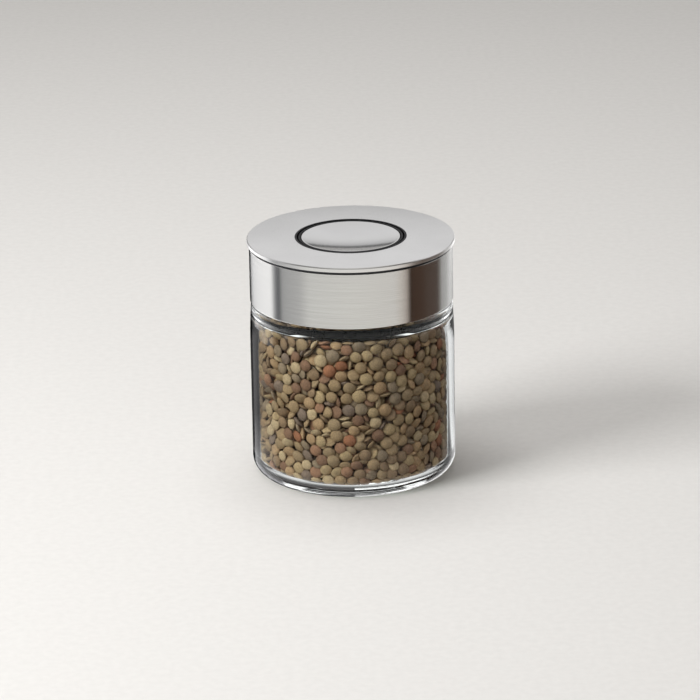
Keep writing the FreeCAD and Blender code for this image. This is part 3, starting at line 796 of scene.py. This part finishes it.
def brushed_steel():
    """Lines 0.4 mm wide and 50 mm long round the skirt, drawn coarser than real ones to show."""
    material, tree = new_material("brushed_stainless_steel")
    lengths = add_node(tree, "UVMap", {"uv_map": "surface"})
    stretch = add_node(tree, "Mapping", {"Scale": (1 / (50 * mm), 1 / (0.4 * mm), 1)},
                       {"Vector": lengths})
    lines = add_node(tree, "TexNoise", {"Scale": 1.0, "Detail": 3.0, "Roughness": 0.6},
                     {"Vector": stretch})
    shade = add_node(tree, "ValToRGB", {"stops": [(0.3, "#c2c1be"), (0.7, "#cfcecb")]},
                     {"Fac": lines})
    bump = add_node(tree, "Bump", {"Strength": 0.25, "Distance": 0.01 * mm}, {"Height": lines})
    along = add_node(tree, "Tangent", {"direction_type": "UV_MAP", "uv_map": "surface"})
    steel = add_node(tree, "BsdfPrincipled", {
        "Metallic": 1.0, "Roughness": 0.18, "Anisotropic": 0.95, "Anisotropic Rotation": 0.25,
    }, {"Base Color": shade, "Normal": bump, "Tangent": along})
    show(tree, steel)
    return material


def satin_steel(name, dark, light, grain, roughness, depth, crown_rise=0.0):
    """Even satin: grain of the given size in the finish, and a slow drift in its brightness.

    A crown is a bump of height -rise (r / R)^2, the slight lean of a pressed plate's flat.
    """
    material, tree = new_material(name)
    spot = {"Vector": add_node(tree, "TexCoord").outputs["Object"]}
    fine = add_node(tree, "TexNoise", {"Scale": 1 / grain, "Detail": 2.0}, spot)
    cloud = add_node(tree, "TexNoise", {"Scale": 1 / (22 * mm), "Detail": 2.0}, spot)
    shade = add_node(tree, "ValToRGB", {"stops": [(0.3, dark), (0.7, light)]}, {"Fac": cloud})
    blur = add_node(tree, "MapRange", {
        "From Min": 0.3, "From Max": 0.7, "To Min": roughness - 0.03, "To Max": roughness + 0.03,
    }, {"Value": fine})
    out = add_node(tree, "VectorMath", {"operation": "LENGTH"}, {0: spot["Vector"]})
    fall = add_node(tree, "Math", {"operation": "MULTIPLY"},
                    {0: out.outputs["Value"], 1: out.outputs["Value"]})
    lean = add_node(tree, "Bump", {"Distance": crown_rise / plate_radius ** 2, "invert": True},
                    {"Height": fall})
    bump = add_node(tree, "Bump", {"Strength": 0.2, "Distance": depth},
                    {"Height": fine, "Normal": lean})
    steel = add_node(tree, "BsdfPrincipled", {"Metallic": 1.0},
                     {"Base Color": shade, "Roughness": blur, "Normal": bump})
    show(tree, steel)
    return material


lid_skirt.data.materials.append(brushed_steel())
# The plate's colours are painted a little lighter and the dish's darker than one sheet's would be:
# painted light on the plate and painted shade in the dish, for how bright each one shows.
lid_plate.data.materials.append(satin_steel(
    "satin_stainless_steel", "#cdccca", "#d4d3d1", 0.5 * mm, 0.3, 0.01 * mm, crown_rise=1.4 * mm))
button_dish.data.materials.append(satin_steel(
    "fine_satin_steel", "#c0bfbd", "#c6c5c3", 0.4 * mm, 0.12, 0.002 * mm))
print("steel on", lid_skirt.name, lid_plate.name, button_dish.name)

# %% [markdown]
# ## Plastics, rubber and small metal parts
# The ring and the button's cup are moulded ABS, black and satin, and the guard ring is a smoother
# polypropylene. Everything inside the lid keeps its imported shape, because its edges are right, and
# only gets the finish of the real stock: spark-eroded polypropylene, acetal, silicone, zinc plating
# and drawn spring wire.

# %% Moulded plastics and small parts


def moulded(name, colour, grain, roughness, depth, shine=0.5):
    """Moulded surface: the tool's texture as bump, and a drift in colour from flow in the mould."""
    material, tree = new_material(name)
    spot = {"Vector": add_node(tree, "TexCoord").outputs["Object"]}
    texture = add_node(tree, "TexNoise", {"Scale": 1 / grain, "Detail": 3.0}, spot)
    flow = add_node(tree, "TexNoise", {"Scale": 1 / (9 * mm), "Detail": 1.0}, spot)
    drift = add_node(tree, "MapRange", {"To Min": 0.88, "To Max": 1.12}, {"Value": flow})
    shade = add_node(tree, "HueSaturation", {"Color": linear(colour)}, {"Value": drift})
    blur = add_node(tree, "MapRange", {
        "From Min": 0.3, "From Max": 0.7, "To Min": roughness * 0.85, "To Max": roughness * 1.15,
    }, {"Value": texture})
    bump = add_node(tree, "Bump", {"Strength": 0.4, "Distance": depth}, {"Height": texture})
    plastic = add_node(tree, "BsdfPrincipled", {"IOR": 1.5, "Specular IOR Level": shine},
                       {"Base Color": shade, "Roughness": blur, "Normal": bump})
    show(tree, plastic)
    return material


def small_metal(name, dark, light, roughness):
    """Plated or drawn metal: a fine mottle 0.6 mm wide between two greys."""
    material, tree = new_material(name)
    spot = {"Vector": add_node(tree, "TexCoord").outputs["Object"]}
    mottle = add_node(tree, "TexNoise", {"Scale": 1 / (0.6 * mm), "Detail": 3.0}, spot)
    shade = add_node(tree, "ValToRGB", {"stops": [(0.3, dark), (0.7, light)]}, {"Fac": mottle})
    metal = add_node(tree, "BsdfPrincipled", {"Metallic": 1.0, "Roughness": roughness},
                     {"Base Color": shade})
    show(tree, metal)
    return material


satin_abs = moulded("satin_black_abs", "#0a0a0b", 1.2 * mm, 0.45, 0.004 * mm, shine=0.1)
for piece in (bezel_ring, button_cup):
    piece.data.materials.append(satin_abs)
# Near-black, partly painted shade: the guard ring's colour stands for the shade under the lid.
guard_ring.data.materials.append(
    moulded("black_polypropylene", "#09090a", 1.2 * mm, 0.25, 0.001 * mm, shine=0.2))
frame_plastic = moulded("dark_grey_polypropylene", "#303034", 0.5 * mm, 0.5, 0.02 * mm)
acetal = moulded("natural_acetal", "#dcdad2", 0.8 * mm, 0.38, 0.01 * mm)
silicone = moulded("black_silicone_rubber", "#26262a", 0.35 * mm, 0.6, 0.01 * mm)
zinc = small_metal("zinc_plated_steel", "#a9abb0", "#c4c5c9", 0.28)
spring_wire = small_metal("drawn_spring_steel", "#8e8f92", "#b3b3b5", 0.22)
finishes = [
    (frame_plastic, ["lid_frame", "plug_body", "bottom_cover"]),
    (silicone, ["seal_ring"]),
    (zinc, ["cover_screws", "frame_screws", "wedge_screw"]),
    (spring_wire, ["button_spring", "latch_follower"]),
    (acetal, ["latch_cam", "expander_wedge"] + [f"seal_pusher_{i}" for i in range(1, 7)]),
]
for material, nodes in finishes:
    for node in nodes:
        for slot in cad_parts[node].material_slots:
            slot.material = material
print("packed nodes with a finish:", sum(len(nodes) for _, nodes in finishes))

# %% [markdown]
# ## The studio
# Polished metal and glass show the room, so the room is part of the look. The world answers four
# kinds of ray. The camera sees a plain pale backdrop. Reflections see a studio of panels, laid out
# by compass direction from the camera's side: white boards left and right, a grey wall in front, a
# dark opening at the right, and behind the jar a wall with a dark line low down. Rays through
# glass see a card on each side and a wall behind, and matt things get soft light from the left.

# %% Floor
floor_mesh = bpy.data.meshes.new("floor")
floor_reach = 4.0
floor_mesh.from_pydata([(floor_reach * x, floor_reach * y, 0)
                        for x, y in ((-1, -1), (1, -1), (1, 1), (-1, 1))], [], [(0, 1, 2, 3)])
floor = bpy.data.objects.new("floor", floor_mesh)
bpy.context.collection.objects.link(floor)
floor.visible_glossy = False

# What glass lets through, by compass degrees from the camera's side: a grey card stands behind the
# jar on the left and a white one on the right, and the rest is dark.
cards = [(-180, "#504e4e"), (-144, "#4c4a4a"), (-138, "#2a2929"), (138, "#2a2929"),
         (144, "#ffffff"), (180, "#ffffff")]


def spread(stops, low, high):
    """Ramp stops from values between low and high."""
    return [((at - low) / (high - low), colour) for at, colour in stops]


def compass_of(tree, x, y):
    """Compass direction of (x, y) from the camera's side, with -180 to 180 degrees as 0 to 1."""
    nearer = add_node(tree, "Math", {"operation": "MULTIPLY", 1: -1.0}, {0: y})
    turn = add_node(tree, "Math", {"operation": "ARCTAN2"}, {0: x, 1: nearer})
    return add_node(tree, "MapRange", {"From Min": -math.pi, "From Max": math.pi}, {"Value": turn})


def backdrop_paper():
    """Pale matt paper, with pulp mottle about 4 mm wide too faint to read as a pattern.

    Soft light finds it a darker grey, and rays that left the glass find the two cards on it, a
    bright ring close round the jar and the dark under the jar. They leave at the jar's sides, so
    the cards' compass is taken from there: x loses nearly all of its part within the inside radius.
    """
    material, tree = new_material("pale_backdrop_paper")
    spot = {"Vector": add_node(tree, "TexCoord").outputs["Object"]}
    pulp = add_node(tree, "TexNoise", {"Scale": 1 / (4 * mm), "Detail": 2.0}, spot)
    shade = add_node(tree, "ValToRGB", {"stops": [(0.3, "#dddbd8"), (0.7, "#e1dfdc")]},
                     {"Fac": pulp})
    paper = add_node(tree, "BsdfPrincipled", {"Roughness": 0.9, "Specular IOR Level": 0.2},
                     {"Base Color": shade})
    grey = add_node(tree, "BsdfDiffuse", {"Color": linear("#92908e")})
    part = add_node(tree, "SeparateXYZ", {}, spot)
    within = add_node(tree, "MapRange", {
        "From Min": -inside_radius, "From Max": inside_radius,
        "To Min": -0.98 * inside_radius, "To Max": 0.98 * inside_radius,
    }, {"Value": part.outputs["X"]})
    aside = add_node(tree, "Math", {"operation": "SUBTRACT"}, {0: part.outputs["X"], 1: within})
    card = add_node(tree, "ValToRGB", {"stops": spread(cards, -180, 180)},
                    {"Fac": compass_of(tree, aside, part.outputs["Y"])})
    # Painted light and painted shadow for rays that left the glass: the floor glows with the cards,
    # brighter in a ring close round the jar, and falls to 0.08 under the jar.
    reach = add_node(tree, "VectorMath", {"operation": "LENGTH"}, {0: spot["Vector"]})
    outside = add_node(tree, "MapRange", {
        "From Min": jar_radius - 6 * mm, "From Max": jar_radius - 2 * mm, "To Min": 0.08,
    }, {"Value": reach.outputs["Value"]})
    close = add_node(tree, "MapRange", {
        "From Min": jar_radius + 6 * mm, "From Max": jar_radius + 14 * mm, "To Min": 1, "To Max": 0,
    }, {"Value": reach.outputs["Value"]})
    bright = add_node(tree, "Mix", {"data_type": "RGBA", 7: linear("#e6e6e6")}, {0: close, 6: card})
    through = add_node(tree, "Emission", {}, {"Color": bright.outputs[2], "Strength": outside})
    show(tree, by_ray(tree, grey, [("Is Camera Ray", paper), ("Is Transmission Ray", through)]))
    return material


floor_mesh.materials.append(backdrop_paper())
print("floor", 2 * floor_reach, "m square")

# %% World
# Compass directions in degrees from the camera's side, positive to its right.
panels = [
    (-180, "#2a2b2e"), (-156, "#2e3033"), (-153, "#fdfdff"), (-102, "#fafafc"), (-99, "#8a8b8e"),
    (-94, "#5a5b5f"), (-89, "#3a3b3f"), (-86, "#9fa0a1"), (-62, "#aaaaaa"), (-49, "#c2c2c0"),
    (0, "#c5c4c1"), (50, "#c3c1be"), (58, "#bab5b0"), (66, "#a39a93"), (69, "#2a1d16"),
    (76, "#40322a"), (118, "#44362e"), (122, "#a4a4a3"), (136, "#b4b4b4"), (150, "#fcfcfc"),
    (170, "#fcfcfc"),
]
# Heights are the sine of the elevation. The upright glass wall mirrors only the dark table edge of
# the front list, which the brushed skirt smears away.
front_heights = [(-1.0, "#ffffff"), (-0.355, "#ffffff"), (-0.35, "#5a5a5a"), (-0.297, "#5a5a5a"),
                 (-0.292, "#ffffff"), (0.1, "#ffffff"), (0.25, "#7c7c7c"), (0.8, "#7c7c7c"),
                 (0.9, "#ffffff")]
back_heights = [(-0.05, "#848382"), (0.09, "#888786"), (0.1, "#373738"), (0.15, "#373738"),
                (0.16, "#939394"), (0.2, "#9d9d9e"), (0.3, "#b5b5b6"), (0.42, "#bababc"),
                (0.65, "#b5b5b6")]
# Soft light on matt things: bright from the left, dim and warm from the right.
soft_light = [(-1.0, "#ffffff"), (0.0, "#aba8a4"), (1.0, "#5c5044")]
# Behind the jar, glass finds a dim wall just above the horizon and a white one higher up.
glass_heights = [(0.0, "#5a5a5a"), (0.28, "#6a6a6a"), (0.36, "#ffffff"), (0.6, "#ffffff"),
                 (0.7, "#cfcfcf")]
studio_strength, soft_strength, glass_strength, backdrop_strength = 2.1, 0.5, 1.7, 1.0

world = bpy.data.worlds.new("studio")
bpy.context.scene.world = world
world.use_nodes = True
world.node_tree.nodes.clear()
sky = world.node_tree
ray = add_node(sky, "TexCoord")
axes = add_node(sky, "SeparateXYZ", {}, {"Vector": ray.outputs["Generated"]})
compass = compass_of(sky, axes.outputs["X"], axes.outputs["Y"])
height, sideways = (
    add_node(sky, "MapRange", {"From Min": -1.0, "From Max": 1.0}, {"Value": axes.outputs[axis]})
    for axis in "ZX"
)
around, front, back, soft_side, glass_side, above = (
    add_node(sky, "ValToRGB", {"stops": spread(stops, -limit, limit)}, {"Fac": source})
    for stops, limit, source in (
        (panels, 180, compass), (front_heights, 1, height), (back_heights, 1, height),
        (soft_light, 1, sideways), (cards, 180, compass), (glass_heights, 1, height),
    )
)
ahead = add_node(sky, "Mix", {"data_type": "RGBA", "blend_type": "MULTIPLY", 0: 1.0},
                 {6: around, 7: front})
behind = add_node(sky, "MapRange", {
    "From Min": -0.1, "From Max": 0.1, "interpolation_type": "SMOOTHSTEP",
}, {"Value": axes.outputs["Y"]})
raised = add_node(sky, "MapRange", {
    "From Min": -0.12, "From Max": -0.06, "interpolation_type": "SMOOTHSTEP",
}, {"Value": axes.outputs["Z"]})
back_wall = add_node(sky, "Math", {"operation": "MULTIPLY"}, {0: behind, 1: raised})
studio = add_node(sky, "Mix", {"data_type": "RGBA"}, {0: back_wall, 6: ahead.outputs[2], 7: back})
print("world panels:", len(panels))

# %% World by kind of ray
reflected = add_node(sky, "Background", {"Strength": studio_strength}, {"Color": studio.outputs[2]})
upwards = add_node(sky, "MapRange", {"From Min": -0.05, "From Max": 0.05},
                   {"Value": axes.outputs["Z"]})
glass_back = add_node(sky, "Mix", {"data_type": "RGBA"}, {0: upwards, 6: glass_side, 7: above})
glass_view = add_node(sky, "Mix", {"data_type": "RGBA", 6: linear("#cfcfcf")}, {
    0: behind, 7: glass_back.outputs[2],
})
plain = add_node(sky, "Background", {"Strength": soft_strength}, {"Color": soft_side})
clear = add_node(sky, "Background", {"Strength": glass_strength}, {"Color": glass_view.outputs[2]})
pale = add_node(sky, "Background", {"Color": linear("#e9e8e6"), "Strength": backdrop_strength})
seen = by_ray(sky, plain, [
    ("Is Glossy Ray", reflected), ("Is Transmission Ray", clear), ("Is Camera Ray", pale),
])
add_node(sky, "OutputWorld", {}, {"Surface": seen})
print("world nodes:", len(sky.nodes))

# %% [markdown]
# ## Lamps
# Three large softboxes light what is matt: a key from the upper left in front, one overhead and a
# weak fill at the right. They are hidden from reflections and from rays through glass, because the
# panels and the cards stand for them there.

# %% Softboxes


def softbox(name, place, size, power):
    """Square area lamp that faces the middle of the jar."""
    data = bpy.data.lights.new(name, "AREA")
    data.size = size
    data.energy = power
    lamp = bpy.data.objects.new(name, data)
    bpy.context.collection.objects.link(lamp)
    lamp.location = place
    lamp.rotation_euler = (middle - Vector(place)).to_track_quat("-Z", "Y").to_euler()
    lamp.visible_glossy = False
    lamp.visible_transmission = False


middle = Vector((0, 0, 60 * mm))
softbox("key_softbox", (-1.2, -0.65, 0.85), 0.7, 23)
softbox("top_softbox", (-0.1, 0.2, 1.4), 0.9, 10)
softbox("fill_softbox", (0.5, -1.2, 0.5), 0.8, 1.2)
print("three softboxes, about 1.5 m away")

# %% [markdown]
# ## Camera
# The lens is long and two metres away, so the lid's two edges stay nearly parallel ellipses. It
# looks down 19 degrees and is turned by one degree, as the photograph's was.

# %% Camera
focal_pixels = 4086.7
image_width = 700
sensor_width = 36
distance = 2.0
elevation = 0.336
roll = -0.0164
eye_base = 0.06
aim = Vector((-0.00122, 0, 0.06002))

camera_data = bpy.data.cameras.new("camera")
camera_data.sensor_width = sensor_width
camera_data.lens = focal_pixels / image_width * sensor_width
camera = bpy.data.objects.new("camera", camera_data)
bpy.context.collection.objects.link(camera)
eye = Vector((0, -distance * math.cos(elevation), eye_base + distance * math.sin(elevation)))
forward = (aim - eye).normalized()
level = forward.cross(Vector((0, 0, 1))).normalized()
upright = level.cross(forward)
right = level * math.cos(roll) + upright * math.sin(roll)
top = upright * math.cos(roll) - level * math.sin(roll)
camera.matrix_world = Matrix.Translation(eye) @ Matrix((right, top, -forward)).transposed().to_4x4()
bpy.context.scene.camera = camera
bpy.context.scene.view_settings.view_transform = "Standard"
print("lens", round(camera_data.lens, 1), "mm")
